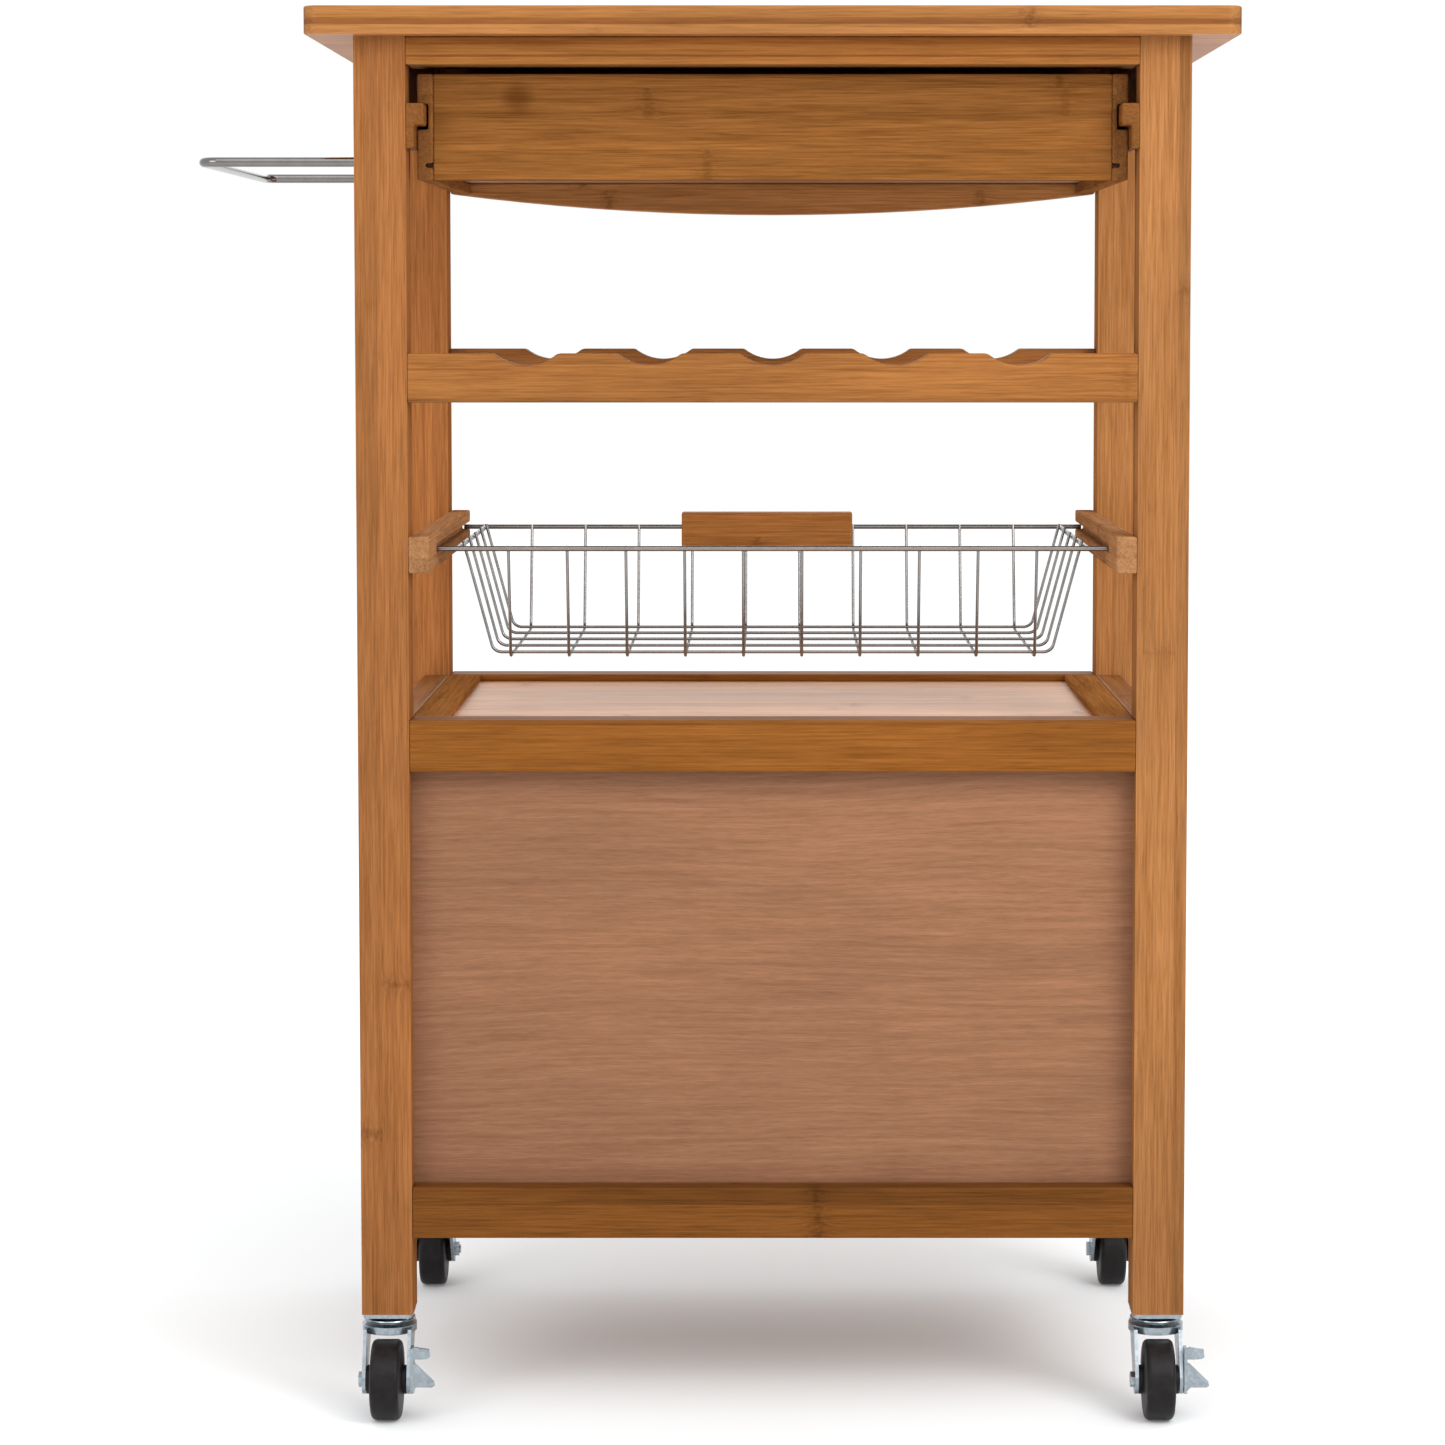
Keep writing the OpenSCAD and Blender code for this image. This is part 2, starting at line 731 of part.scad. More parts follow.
// A solid wheel with a rounded tread, tapered sides and a raised hub
module caster_wheel(side, end) {
    edge_r = 3;
    edge_x = wheel_r - edge_r;
    color(BLACK) placed() at_caster(side, end) translate([0, trail, wheel_r])
        rotate([0, 90, 0]) rotate_extrude($fn = 96) {
            translate([axle_r + 0.06, -hub_half]) square([hub_r - axle_r - 0.06, 2 * hub_half]);
            polygon([[hub_r - 1, -wheel_w / 2], [edge_x, -tread_w / 2],
                     [edge_x, tread_w / 2], [hub_r - 1, wheel_w / 2]]);
            translate([edge_x, edge_r - tread_w / 2]) square([edge_r, tread_w - 2 * edge_r]);
            for (x = [-1, 1])
                translate([edge_x, x * (tread_w / 2 - edge_r)]) circle(edge_r);
        }
}

module caster_wheel_rear_left() caster_wheel(-1, 1);
module caster_wheel_rear_right() caster_wheel(1, 1);
module caster_wheel_front_left() caster_wheel(-1, -1);
module caster_wheel_front_right() caster_wheel(1, -1);

// A bolt with a hexagonal head, and a nut outside the brake lever where there is one
module caster_axle(side, end) {
    nut_x = fork_out + (end > 0 ? lever_t + 0.6 : 0);
    color(ZINC) placed() at_caster(side, end) translate([0, trail, wheel_r]) {
        bar_x(-nut_x - 4, fork_out + 1, axle_r);
        translate([fork_out, 0, 0]) rotate([0, 90, 0]) cylinder(r = 5, h = 2.6, $fn = 6);
        translate([-nut_x - 3, 0, 0]) rotate([0, 90, 0]) cylinder(r = 5, h = 3, $fn = 6);
    }
}

module caster_axle_rear_left() caster_axle(-1, 1);
module caster_axle_rear_right() caster_axle(1, 1);
module caster_axle_front_left() caster_axle(-1, -1);
module caster_axle_front_right() caster_axle(1, -1);

// A pressed lever that rocks on the axle, with a pedal above and a wider one below
module brake_lever(side) {
    x = -fork_out - 0.3;
    pedal_y = trail + 9;
    color(ZINC) placed() at_caster(side, 1) difference() {
        union() {
            translate([x - lever_t, 0, 0]) rotate([90, 0, 90]) linear_extrude(lever_t) {
                translate([trail, wheel_r]) circle(hub_r - 0.5);
                polygon([[trail - 7, wheel_r + 4], [trail + 1, 47], [pedal_y + lever_t, 47],
                         [pedal_y + lever_t, 18.5], [trail, 17]]);
            }
            translate([0, pedal_y + lever_t, 0]) rotate([90, 0, 0]) linear_extrude(lever_t) {
                polygon([[x, 40.5], [x, 46.6], [x - 3.5, 48.2], [x - 7, 47.4], [x - 12, 46.8],
                         [x - 12.5, 42], [x - 11, 40.8], [x - 6, 40.4]]);
                polygon([[x, 18.5], [x, 39], [x - 3.5, 37.6], [x - 15, 26.4], [x - 15.6, 23.8],
                         [x - 14, 22.6], [x - 4, 22.6]]);
            }
        }
        translate([0, trail, wheel_r]) bar_x(x - lever_t - 1, x + 1, axle_r + 0.06);
    }
}

module brake_lever_left() brake_lever(-1);
module brake_lever_right() brake_lever(1);

tabletop();
leg_rear_left();
leg_rear_right();
leg_front_left();
leg_front_right();
top_rail_rear();
top_rail_front();
side_aprons();
drawer_runners();
bottle_rail_rear();
bottle_rail_front();
basket_runners();
tray_rail_rear();
tray_rail_front();
tray_side_rails();
tray_panel();
side_rails_upper();
side_rails_lower();
side_panels();
back_panel();
bottom_rail_rear();
bottom_rail_front();
cabinet_floor();
towel_rail();
door_catches();
hinge_frame_leaves();
hinge_pins();
caster_plates();
caster_screws();
drawer_front();
drawer_back();
drawer_sides();
drawer_bottom();
drawer_knob();
basket_rim();
basket_cross_wires();
basket_long_wires();
basket_handle();
door_left_frame();
door_left_panel();
door_left_knob();
door_left_hinge_leaves();
door_right_frame();
door_right_panel();
door_right_knob();
door_right_hinge_leaves();
caster_fork_rear_left();
caster_fork_rear_right();
caster_fork_front_left();
caster_fork_front_right();
caster_wheel_rear_left();
caster_wheel_rear_right();
caster_wheel_front_left();
caster_wheel_front_right();
caster_axle_rear_left();
caster_axle_rear_right();
caster_axle_front_left();
caster_axle_front_right();
brake_lever_left();
brake_lever_right();
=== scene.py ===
"""Looks of the rolling kitchen cart: bamboo boards, plywood, wires and casters, its
floor, light and camera. Metres, in the row frame: +Z up, the doors face -Y."""

import json
import math
import random

import bpy
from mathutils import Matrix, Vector


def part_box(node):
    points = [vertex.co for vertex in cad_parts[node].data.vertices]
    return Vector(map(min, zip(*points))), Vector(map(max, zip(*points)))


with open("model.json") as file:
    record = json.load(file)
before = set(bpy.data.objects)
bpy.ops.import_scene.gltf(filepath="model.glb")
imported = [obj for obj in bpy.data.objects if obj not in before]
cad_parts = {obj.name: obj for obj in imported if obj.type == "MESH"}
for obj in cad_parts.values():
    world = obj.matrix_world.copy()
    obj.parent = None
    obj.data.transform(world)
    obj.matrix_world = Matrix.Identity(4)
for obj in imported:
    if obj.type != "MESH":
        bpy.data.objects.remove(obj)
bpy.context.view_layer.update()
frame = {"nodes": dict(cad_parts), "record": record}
nodes = frame["nodes"]
random.seed(4)

# ---- Places worked out from the frame ----

leg_low, leg_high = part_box("leg_rear_left")
far_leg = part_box("leg_rear_right")
MIDDLE_X = (leg_low.x + far_leg[1].x) / 2      # middle of the legs, not of the whole cart
BACK_Y = leg_high.y

# ---- Helpers for shader nodes ----


class Shader:
    """A material, or a node group, being built. Each call adds a node and gives its output."""

    def __init__(self, tree):
        self.tree = tree

    def add(self, kind, inputs=None, out=0, **settings):
        node = self.tree.nodes.new(kind)
        for name, value in settings.items():
            setattr(node, name, value)
        for name, value in (inputs or {}).items():
            self.feed(node.inputs[name], value)
        return node.outputs[out] if node.outputs else None

    def feed(self, socket, value):
        if isinstance(value, bpy.types.NodeSocket):
            self.tree.links.new(value, socket)
        else:
            socket.default_value = value

    def math(self, operation, a, b=0.0, clamp=False):
        return self.add("ShaderNodeMath", {0: a, 1: b}, operation=operation, use_clamp=clamp)

    def combine(self, x, y, z):
        return self.add("ShaderNodeCombineXYZ", {0: x, 1: y, 2: z})

    def noise(self, vector, scale, detail=3.0, roughness=0.55, distortion=0.0):
        return self.add("ShaderNodeTexNoise", {
            "Vector": vector, "Scale": scale, "Detail": detail,
            "Roughness": roughness, "Distortion": distortion})

    def stretched(self, width, depth, length, across, along, detail, roughness=0.55):
        """Noise drawn out along a board, with its scales across and along it, per metre."""
        place = self.combine(self.math("MULTIPLY", width, across),
                             self.math("MULTIPLY", depth, across),
                             self.math("MULTIPLY", length, along))
        return self.noise(place, 1.0, detail, roughness)

    def chance(self, vector):
        """The same random number, 0 to 1, wherever the vector is the same."""
        return self.add("ShaderNodeTexWhiteNoise", {"Vector": vector}, noise_dimensions="3D")

    def step(self, value, start, end, low=0.0, high=1.0):
        """Runs smoothly from low to high as value goes from start to end."""
        return self.add("ShaderNodeMapRange", {
            "Value": value, "From Min": start, "From Max": end, "To Min": low, "To Max": high},
            interpolation_type="SMOOTHSTEP")

    def ramp(self, value, stops, interpolation="LINEAR"):
        socket = self.add("ShaderNodeValToRGB", {"Fac": value})
        ramp = socket.node.color_ramp
        ramp.interpolation = interpolation
        ramp.elements.remove(ramp.elements[1])
        ramp.elements[0].position = stops[0][0]
        ramp.elements[0].color = opaque(stops[0][1])
        for place, colour in stops[1:]:
            ramp.elements.new(place).color = opaque(colour)
        return socket

    def mix(self, factor, a, b, blend="MIX"):
        node = self.tree.nodes.new("ShaderNodeMix")
        node.data_type = "RGBA"
        node.blend_type = blend
        self.feed(node.inputs["Factor"], factor)
        self.feed(node.inputs[6], a)
        self.feed(node.inputs[7], b)
        return node.outputs[2]

    def shade(self, colour, amount):
        """colour made lighter or darker by amount, a value near 1."""
        grey = self.combine(amount, amount, amount)
        return self.mix(1.0, colour, grey, "MULTIPLY")


def rgb(red, green, blue):
    """Display values, 0 to 255, as a linear colour."""
    def linear(v):
        v /= 255
        return v / 12.92 if v <= 0.04045 else ((v + 0.055) / 1.055) ** 2.4
    return (linear(red), linear(green), linear(blue))


def opaque(colour):
    return (*colour, 1.0)


def new_material(name):
    material = bpy.data.materials.new(name)
    material.use_nodes = True
    tree = material.node_tree
    tree.nodes.clear()
    return material, Shader(tree)


def finish_material(shader, **inputs):
    """Connects a Principled shader, its inputs given by name, to the material's output."""
    named = {key.replace("_", " "): value for key, value in inputs.items()}
    surface = shader.add("ShaderNodeBsdfPrincipled", named)
    shader.add("ShaderNodeOutputMaterial", {"Surface": surface})


def edge_nearness(shader, size, reach):
    """1 on the edges of the one box that a node's mesh is, falling to 0 at reach from them."""
    place = shader.add("ShaderNodeSeparateXYZ", {
        0: shader.add("ShaderNodeTexCoord", out=0)}).node.outputs
    gaps = []
    for socket, length in zip(place, size):
        off_middle = shader.math("ABSOLUTE", shader.math("SUBTRACT", socket, 0.5))
        gaps.append(shader.math("MULTIPLY", shader.math("SUBTRACT", 0.5, off_middle), length))
    low = shader.math("MINIMUM", gaps[0], gaps[1])
    high = shader.math("MAXIMUM", gaps[0], gaps[1])
    second = shader.math("MAXIMUM", low, shader.math("MINIMUM", high, gaps[2]))
    return shader.step(second, 0.0, reach, 1.0, 0.0)


# ---- Wood ----

AXES = {"x": (0, 2, 1), "y": (1, 0, 2), "z": (2, 0, 1)}   # along the board, then across it
GLOSS = 0.40             # roughness of the lacquer
JOINT = 0.26             # from one knuckle of a strip to the next, as for all lengths here, in metres
KNUCKLE_REACH = 0.0042
HALO_REACH = 0.014       # how far from a knuckle the fibres are bent and speckled
FOOT_SHADE_REACH = 0.2         # how far up the painted shade on the lower end of a leg reaches
WEAR_AND_HIGHLIGHT_REACH = 0.0022      # how far from an edge the painted highlight and the worn, rougher lacquer reach


def bamboo(name, node, along, light, dark, strip, plies_and_light, shine, coat, foot_shade, knots):
    """Lacquered strip bamboo: strips with their own tone, long fibres and knuckles across
    the strips. plies_and_light gives the layers of a three-ply board with painted light and shade on
    them, foot_shade the painted shade on its lower end,
    and knots dark spots: how far over from its middle, how far up, and their reach."""
    low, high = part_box(node)
    material, s = new_material(name)
    place = s.add("ShaderNodeSeparateXYZ", {
        0: s.add("ShaderNodeTexCoord", out=3)}).node.outputs
    length, width, depth = (place[i] for i in AXES[along])
    seed = random.uniform(0, 50)

    # Which strip this is, and what is special to it
    column = s.math("FLOOR", s.math("DIVIDE", s.math("ADD", width, seed), strip))
    row = s.math("FLOOR", s.math("DIVIDE", s.math("ADD", depth, seed * 0.7), strip))
    own = s.chance(s.combine(column, row, seed))
    own_tone = s.chance(s.combine(row, column, seed + 3))

    # Knuckles, one in each strip every joint or so, with bent fibres beside them
    count = s.math("ADD", s.math("DIVIDE", length, JOINT), s.math("MULTIPLY", own, 7.0))
    which = s.math("FLOOR", count)
    wander = s.stretched(width, depth, length, 160, 1, 2.0)
    off = s.math("MULTIPLY", s.math("ABSOLUTE", s.math(
        "SUBTRACT", s.math("SUBTRACT", count, which), 0.5)), JOINT)
    off = s.math("ADD", off, s.math("MULTIPLY", s.math("SUBTRACT", wander, 0.5), 0.012))
    strength = s.step(s.chance(s.combine(which, column, row)), 0.3, 1.0)
    smudge = s.stretched(width, depth, length, 260, 90, 2.0)
    band = s.math("MULTIPLY", s.step(off, 0.0004, KNUCKLE_REACH, 1.0, 0.0),
                  s.step(smudge, 0.3, 0.6))
    band = s.math("MULTIPLY", band, strength)
    halo = s.math("MULTIPLY", s.step(off, 0.0, HALO_REACH, 1.0, 0.0), strength)

    # Fibres
    bend = s.math("MULTIPLY", s.math("MULTIPLY", halo, s.math("SUBTRACT", wander, 0.5)), 0.012)
    across = s.math("ADD", width, bend)
    run = s.math("ADD", length, s.math("MULTIPLY", own, 3.0))
    coarse = s.stretched(across, depth, run, 210, 5.5, 5.0, 0.62)
    fine = s.stretched(across, depth, run, 800, 20, 4.0, 0.65)
    flecks = s.stretched(across, depth, run, 1100, 45, 2.0, 0.5)
    speckle = s.stretched(across, depth, run, 700, 240, 3.0, 0.6)
    cloud = s.stretched(across, depth, run, 26, 4, 2.0, 0.5)
    grain = s.math("ADD", s.math("MULTIPLY", coarse, 0.55), s.math("MULTIPLY", fine, 0.45))
    middle_tone = tuple(a * 0.4 + b * 0.6 for a, b in zip(dark, light))
    colour = s.ramp(grain, [(0.32, dark), (0.50, middle_tone), (0.68, light)])
    colour = s.shade(colour, s.step(fine, 0.32, 0.68, 0.86, 1.12))
    colour = s.shade(colour, s.step(flecks, 0.54, 0.68, 1.02, 0.86))
    colour = s.shade(colour, s.step(cloud, 0.3, 0.7, 0.88, 1.10))
    colour = s.shade(colour, s.math("ADD", 0.88, s.math("MULTIPLY", own_tone, 0.23)))
    knot = opaque(tuple(c * f for c, f in zip(dark, (0.52, 0.42, 0.34))))
    colour = s.mix(s.math("MULTIPLY", band, 0.42), colour, knot)
    spots = s.step(speckle, 0.38, 0.62, 0.02, 0.27)
    colour = s.shade(colour, s.math("SUBTRACT", 1.0, s.math("MULTIPLY", halo, spots)))
    for over, up, reach in knots:
        middle = ((low.x + high.x) / 2 + over, 0.0, low.z + up)
        gap = s.add("ShaderNodeVectorMath", {0: s.combine(
            s.math("SUBTRACT", place[0], middle[0]), 0.0,
            s.math("SUBTRACT", place[2], middle[2]))}, out=1, operation="LENGTH")
        gap = s.math("ADD", gap, s.math("MULTIPLY", s.math("SUBTRACT", wander, 0.5), reach))
        colour = s.mix(s.step(gap, reach * 0.2, reach * 1.6, 0.6, 0.0), colour, knot)
    # Painted shade: the lower end of a leg is darker
    if foot_shade < 1.0:
        colour = s.shade(colour, s.step(length, low.z, low.z + FOOT_SHADE_REACH, foot_shade, 1.0))
    # Ply tones, with painted light on the tabletop's lower face and painted shade on the upper parts
    # of the tabletop's edge and the top rails
    if plies_and_light:
        layer = s.add("ShaderNodeSeparateXYZ", {
            0: s.add("ShaderNodeTexCoord", out=0)}).node.outputs[2]
        colour = s.mix(1.0, colour, s.ramp(layer, plies_and_light), "MULTIPLY")

    # End grain is darker and dotted
    facing = s.math("ABSOLUTE", s.add("ShaderNodeSeparateXYZ", {
        0: s.add("ShaderNodeTexCoord", out=1)}).node.outputs[AXES[along][0]])
    is_end = s.step(facing, 0.75, 0.9)
    dots = s.noise(s.add("ShaderNodeTexCoord", out=3), 1500.0, 1.0)
    darker = s.math("MULTIPLY", is_end, s.math("ADD", 0.10, s.math("MULTIPLY", dots, 0.25)))
    colour = s.shade(colour, s.math("SUBTRACT", 1.0, darker))

    # Edges get a painted highlight, a paler tone broken up by the grain; the lacquer there is also
    # rougher, as worn thin. worn is the mask for both
    edge = edge_nearness(s, high - low, WEAR_AND_HIGHLIGHT_REACH)
    worn = s.math("MULTIPLY", edge, s.step(coarse, 0.35, 0.65))
    painted_edge_highlight = opaque(tuple(min(c * 1.35, 1.0) for c in light))
    colour = s.mix(s.math("MULTIPLY", worn, 0.22), colour, painted_edge_highlight)

    rough = s.math("ADD", GLOSS, s.math("MULTIPLY", grain, 0.12))
    rough = s.math("ADD", rough, s.math("MULTIPLY", worn, 0.15))
    height = s.math("ADD", s.math("MULTIPLY", grain, 0.7), s.math("MULTIPLY", band, 0.5))
    bump = s.add("ShaderNodeBump", {"Strength": 0.10, "Distance": 0.0006, "Height": height})
    finish_material(s, Base_Color=colour, Roughness=rough, Normal=bump,
                    Specular_IOR_Level=shine, Specular_Tint=opaque((1.0, 0.74, 0.50)),
                    Coat_Weight=coat, Coat_Roughness=0.2)
    return material


def plywood(name, node, light, dark):
    """Thin rotary-cut veneer: short dark pores along X, slow swirls and soft blotches."""
    low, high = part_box(node)
    material, s = new_material(name)
    x, y, z = s.add("ShaderNodeSeparateXYZ", {
        0: s.add("ShaderNodeTexCoord", out=3)}).node.outputs
    seed = random.uniform(0, 50)
    up = s.math("ADD", z, y)
    flow = s.noise(s.combine(s.math("MULTIPLY", x, 1.6), seed, s.math("MULTIPLY", up, 4.0)),
                   1.0, 2.0, 0.45, 0.3)
    bent = s.math("ADD", up, s.math("MULTIPLY", flow, 0.05))
    pores = s.noise(s.combine(s.math("MULTIPLY", x, 75), seed, s.math("MULTIPLY", bent, 1250)),
                    1.0, 3.0, 0.7)
    lines = s.noise(s.combine(s.math("MULTIPLY", x, 11), seed + 4,
                              s.math("MULTIPLY", bent, 300)), 1.0, 5.0, 0.7)
    swirl = s.noise(s.combine(s.math("MULTIPLY", x, 3.4), seed + 6,
                              s.math("MULTIPLY", bent, 24)), 1.0, 4.0, 0.55, 0.5)
    blotch = s.noise(s.combine(s.math("MULTIPLY", x, 4), seed + 9, s.math("MULTIPLY", up, 6)),
                     1.0, 4.0, 0.55, 0.8)
    colour = s.ramp(lines, [(0.30, dark), (0.70, light)])
    colour = s.shade(colour, s.step(swirl, 0.35, 0.65, 0.94, 1.05))
    colour = s.shade(colour, s.step(pores, 0.30, 0.66, 0.86, 1.06))
    colour = s.shade(colour, s.step(blotch, 0.30, 0.72, 0.95, 1.07))
    # Painted shade: the sheet is darker within 4 mm of its rim, where it sits in the frame
    edge = edge_nearness(s, high - low, 0.004)
    colour = s.shade(colour, s.math("SUBTRACT", 1.0, s.math("MULTIPLY", edge, 0.12)))
    bump = s.add("ShaderNodeBump", {"Strength": 0.25, "Distance": 0.0004, "Height": pores})
    finish_material(s, Base_Color=colour, Normal=bump,
                    Roughness=s.math("ADD", 0.55, s.math("MULTIPLY", pores, 0.12)),
                    Specular_IOR_Level=0.2)
    return material


# ---- Metal and plastic ----


def metal(name, colour, rough, streak=0.05, spots=0.0):
    """Plated metal with fine scratches, cloudy plating and, with spots, a zinc mottle."""
    material, s = new_material(name)
    place = s.add("ShaderNodeTexCoord", out=3)
    scratch = s.noise(s.add("ShaderNodeMapping", {"Vector": place, "Scale": (1.0, 1.0, 9.0)}),
                      500.0, 3.0, 0.6)
    cloud = s.noise(place, 70.0, 3.0, 0.5)
    crystals = s.add("ShaderNodeTexVoronoi", {"Vector": place, "Scale": 420.0}, out=1)
    mottle = s.add("ShaderNodeSeparateXYZ", {0: crystals})
    tone = s.shade(opaque(colour), s.step(cloud, 0.3, 0.7, 0.92, 1.06))
    tone = s.shade(tone, s.step(mottle, 0.0, 1.0, 1.0 - spots, 1.0 + spots))
    worn = s.math("MULTIPLY", s.math("SUBTRACT", scratch, 0.5), streak * 4)
    rough_out = s.math("ADD", s.math("ADD", rough, worn), s.math("MULTIPLY", cloud, 0.06),
                       clamp=True)
    bump = s.add("ShaderNodeBump", {"Strength": 0.06, "Distance": 0.0002, "Height": scratch})
    finish_material(s, Base_Color=tone, Metallic=1.0, Roughness=rough_out, Normal=bump)
    return material


def black_plastic(name):
    """Hard wheel plastic, greyer and rougher where it has rolled."""
    material, s = new_material(name)
    place = s.add("ShaderNodeTexCoord", out=3)
    dust = s.noise(place, 140.0, 4.0, 0.65)
    grain = s.noise(place, 1800.0, 2.0, 0.5)
    colour = s.ramp(dust, [(0.35, rgb(14, 11, 11)), (0.7, rgb(30, 26, 26))])
    rough = s.math("ADD", 0.36, s.math("MULTIPLY", dust, 0.22))
    bump = s.add("ShaderNodeBump", {"Strength": 0.12, "Distance": 0.0002, "Height": grain})
    finish_material(s, Base_Color=colour, Roughness=rough, Normal=bump,
                    Specular_IOR_Level=0.2)
    return material


# ---- Putting materials on the CAD nodes ----

# node: direction of the grain, light tone, dark tone
BOARDS = {
    "tabletop": ("x", rgb(160, 109, 62), rgb(146, 95, 50)),
    "leg_rear_left": ("z", rgb(157, 108, 66), rgb(136, 87, 47)),
    "leg_rear_right": ("z", rgb(151, 100, 59), rgb(130, 79, 41)),
    # Painted light: the front legs get lighter tones than the rear legs, making up for the shade they
    # stand in under the tabletop
    "leg_front_left": ("z", rgb(176, 122, 74), rgb(153, 98, 54)),
    "leg_front_right": ("z", rgb(170, 111, 64), rgb(144, 86, 45)),
    "top_rail_rear": ("x", rgb(160, 107, 58), rgb(146, 92, 46)),
    "top_rail_front": ("x", rgb(160, 107, 58), rgb(146, 92, 46)),
    "side_aprons": ("y", rgb(154, 103, 56), rgb(138, 88, 44)),
    "drawer_runners": ("y", rgb(142, 91, 47), rgb(120, 71, 34)),
    "bottle_rail_rear": ("x", rgb(146, 96, 51), rgb(120, 72, 34)),
    "bottle_rail_front": ("x", rgb(150, 98, 54), rgb(126, 76, 38)),
    "basket_runners": ("y", rgb(174, 127, 88), rgb(147, 100, 61)),
    "tray_rail_rear": ("x", rgb(130, 80, 33), rgb(110, 63, 21)),
    "tray_rail_front": ("x", rgb(130, 80, 33), rgb(110, 63, 21)),
    "tray_side_rails": ("y", rgb(157, 105, 57), rgb(133, 82, 41)),
    # Painted reflection: part of the tray panel's pale pink tone stands in for the white surround
    # reflected in its gloss
    "tray_panel": ("x", rgb(219, 174, 140), rgb(193, 142, 108)),
    "side_rails_upper": ("y", rgb(150, 98, 52), rgb(126, 75, 36)),
    "side_rails_lower": ("y", rgb(150, 98, 52), rgb(126, 75, 36)),
    "side_panels": ("z", rgb(152, 100, 55), rgb(130, 79, 39)),
    "bottom_rail_rear": ("x", rgb(109, 66, 28), rgb(89, 51, 17)),
    "bottom_rail_front": ("x", rgb(134, 82, 38), rgb(108, 62, 26)),
    "drawer_front": ("x", rgb(185, 129, 78), rgb(152, 98, 53)),
    "drawer_back": ("x", rgb(139, 90, 45), rgb(104, 63, 27)),
    "drawer_sides": ("y", rgb(145, 96, 54), rgb(116, 72, 36)),
    "basket_handle": ("x", rgb(173, 115, 62), rgb(144, 88, 41)),
    "door_left_frame": ("z", rgb(154, 102, 56), rgb(130, 80, 40)),
    "door_left_panel": ("z", rgb(158, 106, 60), rgb(134, 84, 43)),
    "door_right_frame": ("z", rgb(154, 102, 56), rgb(130, 80, 40)),
    "door_right_panel": ("z", rgb(158, 106, 60), rgb(134, 84, 43)),
}
# Tone of the layers of a three-ply board, from its lower face to its upper one, with light and shade
# painted in.
# On the tabletop the bright first stop is painted light on its lower face, as lit from the floor
# below, and the upper ply grows darker downwards into the dark band as painted shade; the band's
# sharp lower side is the line between the plies.
# On the top rails the thin dark line low down is a line between plies, and the darker upper band is
# the painted shadow of the tabletop.
TOP_PLIES_AND_LIGHT = [(0.0, (1.34, 1.30, 1.34)), (0.04, (0.96, 0.95, 0.94)), (0.32, (0.92, 0.91, 0.90)),
             (0.36, (0.52, 0.42, 0.34)), (0.52, (0.60, 0.51, 0.44)), (0.60, (0.82, 0.78, 0.70)),
             (1.0, (0.94, 0.93, 0.91))]
RAIL_PLIES_AND_SHADOW = [(0.0, (0.88, 0.85, 0.76)), (0.25, (0.92, 0.88, 0.78)), (0.29, (0.60, 0.50, 0.40)),
              (0.33, (0.60, 0.50, 0.40)), (0.37, (0.92, 0.89, 0.78)), (0.66, (0.88, 0.84, 0.72)),
              (0.73, (0.74, 0.64, 0.52)), (1.0, (0.78, 0.68, 0.56))]
PLIES_AND_LIGHT = {"tabletop": TOP_PLIES_AND_LIGHT, "top_rail_rear": RAIL_PLIES_AND_SHADOW, "top_rail_front": RAIL_PLIES_AND_SHADOW}
STRIP = 0.021            # width of a strip of bamboo, where the board isn't named below
STRIPS = {"tabletop": 0.022, "tray_panel": 0.024, "drawer_back": 0.019}
KNOTS = {"drawer_back": [(0.159, 0.0516, 0.0085)]}
LEGS = [node for node in BOARDS if node.startswith("leg_")]
LEG_FOOT_SHADE = 0.84
COATS = {"tray_panel": 0.25, "tabletop": 0.10}
SHINE = 0.08
MATT = LEGS + ["tray_side_rails", "drawer_sides", "basket_runners", "drawer_back"]


def dress(node, material):
    mesh = nodes[node].data
    mesh.materials.clear()
    mesh.materials.append(material)


for node, (along, light, dark) in BOARDS.items():
    dress(node, bamboo("bamboo_" + node, node, along, light, dark,
                       strip=STRIPS.get(node, STRIP), plies_and_light=PLIES_AND_LIGHT.get(node),
                       shine=0.0 if node in MATT else SHINE,
                       coat=COATS.get(node, 0.0),
                       foot_shade=LEG_FOOT_SHADE if node in LEGS else 1.0,
                       knots=KNOTS.get(node, ())))

dress("back_panel", plywood("plywood_back", "back_panel", rgb(146, 102, 74), rgb(124, 83, 57)))
dress("cabinet_floor", plywood("plywood_floor", "cabinet_floor",
                               rgb(158, 115, 87), rgb(130, 90, 66)))
dress("drawer_bottom", plywood("plywood_drawer", "drawer_bottom",
                               rgb(158, 115, 87), rgb(130, 90, 66)))

towel_steel = metal("towel_steel", rgb(128, 124, 122), 0.14)
wire_steel = metal("wire_steel", rgb(142, 139, 137), 0.20, streak=0.03)
satin = metal("satin_nickel", rgb(190, 187, 180), 0.32, streak=0.08)
zinc = metal("zinc_plate", rgb(156, 165, 172), 0.26, streak=0.06, spots=0.10)
wheel_black = black_plastic("wheel_black")

SLOT_METAL = {"towel_rail": towel_steel, "wire": wire_steel, "knob": satin, "zinc": zinc,
              "wheel": wheel_black}
for part in frame["record"]["subparts"]:
    if part["material_slot"] in SLOT_METAL:
        dress(part["node"], SLOT_METAL[part["material_slot"]])

# ---- Eased edges on the CAD nodes ----


EASED_BOARD = 0.0012
EASED_SHEET = 0.0004


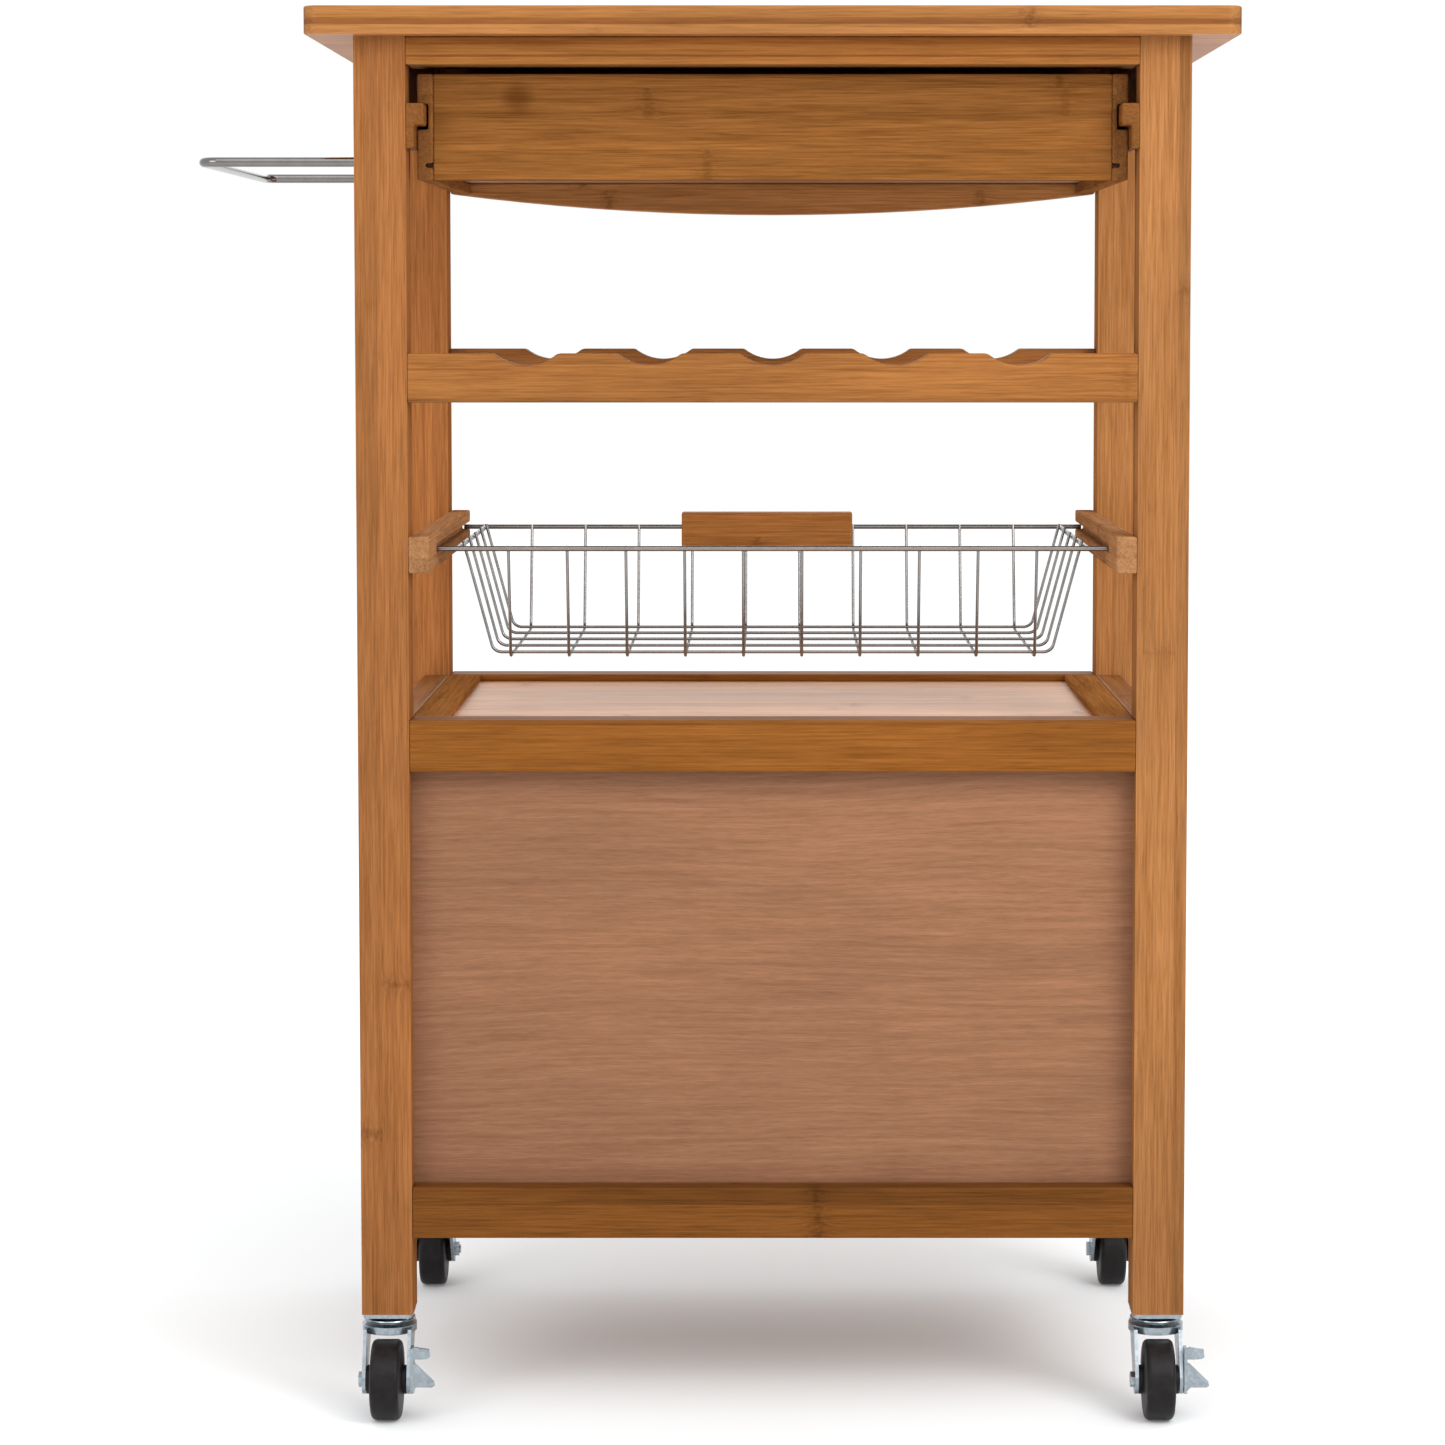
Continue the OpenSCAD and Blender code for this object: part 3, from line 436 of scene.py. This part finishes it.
def ease(node, width):
    """Welds a node's triangles together, joins them to flat faces and rounds its edges."""
    piece = nodes[node]
    weld = piece.modifiers.new("weld", "WELD")
    weld.merge_threshold = 0.000005
    flat = piece.modifiers.new("flat", "DECIMATE")
    flat.decimate_type = "DISSOLVE"
    flat.angle_limit = math.radians(0.5)
    bevel = piece.modifiers.new("bevel", "BEVEL")
    bevel.width = width
    bevel.segments = 2
    bevel.limit_method = "ANGLE"
    bevel.angle_limit = math.radians(35)
    bevel.use_clamp_overlap = True
    normals = piece.modifiers.new("normals", "WEIGHTED_NORMAL")
    normals.keep_sharp = True


for node in BOARDS:
    ease(node, EASED_BOARD)
for node in ("back_panel", "cabinet_floor", "drawer_bottom"):
    ease(node, EASED_SHEET)

# ---- Floor, light and camera ----


def studio():
    floor_mesh = bpy.data.meshes.new("floor")
    reach = 12
    corners = [(-reach, -reach, 0), (reach, -reach, 0), (reach, reach, 0), (-reach, reach, 0)]
    floor_mesh.from_pydata(corners, [], [(0, 1, 2, 3)])
    floor = bpy.data.objects.new("floor", floor_mesh)
    bpy.context.collection.objects.link(floor)
    material, s = new_material("floor_paper")
    mottle = s.noise(s.add("ShaderNodeTexCoord", out=3), 3.0, 3.0)
    colour = s.ramp(mottle, [(0.3, (0.840, 0.863, 0.872)), (0.7, (0.856, 0.877, 0.887))])
    finish_material(s, Base_Color=colour, Roughness=0.8, Specular_IOR_Level=0.0,
                    Emission_Color=opaque((1.0, 1.0, 1.0)), Emission_Strength=0.07)
    floor_mesh.materials.append(material)

    world = bpy.data.worlds.new("studio")
    bpy.context.scene.world = world
    world.use_nodes = True
    background = world.node_tree.nodes["Background"]
    background.inputs["Color"].default_value = (1.0, 1.0, 1.0, 1.0)
    background.inputs["Strength"].default_value = 1.0

    def lamp(name, kind, place, aim, energy, **settings):
        data = bpy.data.lights.new(name, kind)
        data.energy = energy
        for setting, value in settings.items():
            setattr(data, setting, value)
        light = bpy.data.objects.new(name, data)
        light.location = place
        light.rotation_euler = (Vector(aim) - Vector(place)).to_track_quat("-Z", "Y").to_euler()
        bpy.context.collection.objects.link(light)

    aim = (MIDDLE_X, 0.0, 0.5)
    lamp("sky", "SUN", (-0.7, 2.0, 2.9), aim, 0.75, angle=math.radians(50))
    for name, place, watts, wide, tall in (("key", (-1.1, 1.4, 1.3), 14, 0.8, 0.8),
                                           ("fill", (1.2, 1.5, 1.25), 6.5, 0.8, 0.8),
                                           ("front", (0.4, -2.6, 1.8), 6, 2.0, 1.6)):
        lamp(name, "AREA", place, aim, watts, shape="RECTANGLE", size=wide, size_y=tall)


studio()

EYE_BEHIND = 2.453       # from the back of the rear legs
EYE_UP = 0.6965
EYE = Vector((MIDDLE_X, BACK_Y + EYE_BEHIND, EYE_UP))
PITCH = math.radians(3.863)

camera_data = bpy.data.cameras.new("camera")
camera_data.lens = 98.37
camera_data.shift_x = -0.0347
camera_data.shift_y = -0.10
camera_data.clip_start = 0.05
camera_data.clip_end = 60.0
camera = bpy.data.objects.new("camera", camera_data)
camera.location = EYE
look = Vector((0.0, -math.cos(PITCH), -math.sin(PITCH)))
camera.rotation_euler = look.to_track_quat("-Z", "Y").to_euler()
bpy.context.collection.objects.link(camera)
bpy.context.scene.camera = camera

bpy.context.scene.view_settings.view_transform = "Standard"
bpy.context.scene.view_settings.look = "None"
